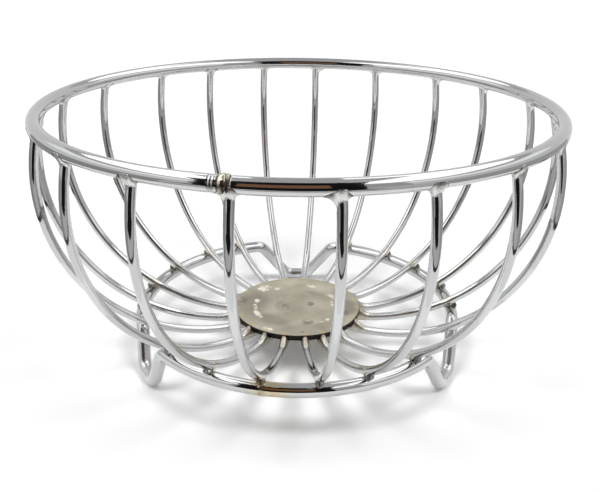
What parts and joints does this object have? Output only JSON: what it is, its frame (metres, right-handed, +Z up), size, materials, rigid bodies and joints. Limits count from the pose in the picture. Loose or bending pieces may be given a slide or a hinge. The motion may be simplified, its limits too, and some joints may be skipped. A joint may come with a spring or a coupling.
{
  "type": "wire fruit basket",
  "caption": "Round chrome wire fruit basket: bent wire ribs welded to a thick rim ring, a centre disc, and a base ring bent into feet",
  "frame": {"origin": "on the table under the centre of the basket, midway between the feet", "axes": "+Z up along the basket's axis, -Y to the front as pictured"},
  "size_m": [0.2416, 0.2415, 0.129],
  "materials": {
    "chrome_wire": "bright chrome plate on drawn steel wire",
    "disc_steel": "satin steel plate, slightly warm grey"
  },
  "bodies": {
    "root": {"rim_ring": "chrome_wire", "rib_01": "chrome_wire", "rib_02": "chrome_wire", "rib_03": "chrome_wire", "rib_04": "chrome_wire", "rib_05": "chrome_wire", "rib_06": "chrome_wire", "rib_07": "chrome_wire", "rib_08": "chrome_wire", "rib_09": "chrome_wire", "rib_10": "chrome_wire", "rib_11": "chrome_wire", "rib_12": "chrome_wire", "rib_13": "chrome_wire", "rib_14": "chrome_wire", "rib_15": "chrome_wire", "rib_16": "chrome_wire", "rib_17": "chrome_wire", "rib_18": "chrome_wire", "rib_19": "chrome_wire", "rib_20": "chrome_wire", "base_ring": "chrome_wire", "base_disc": "disc_steel"}
  },
  "joints": []
}
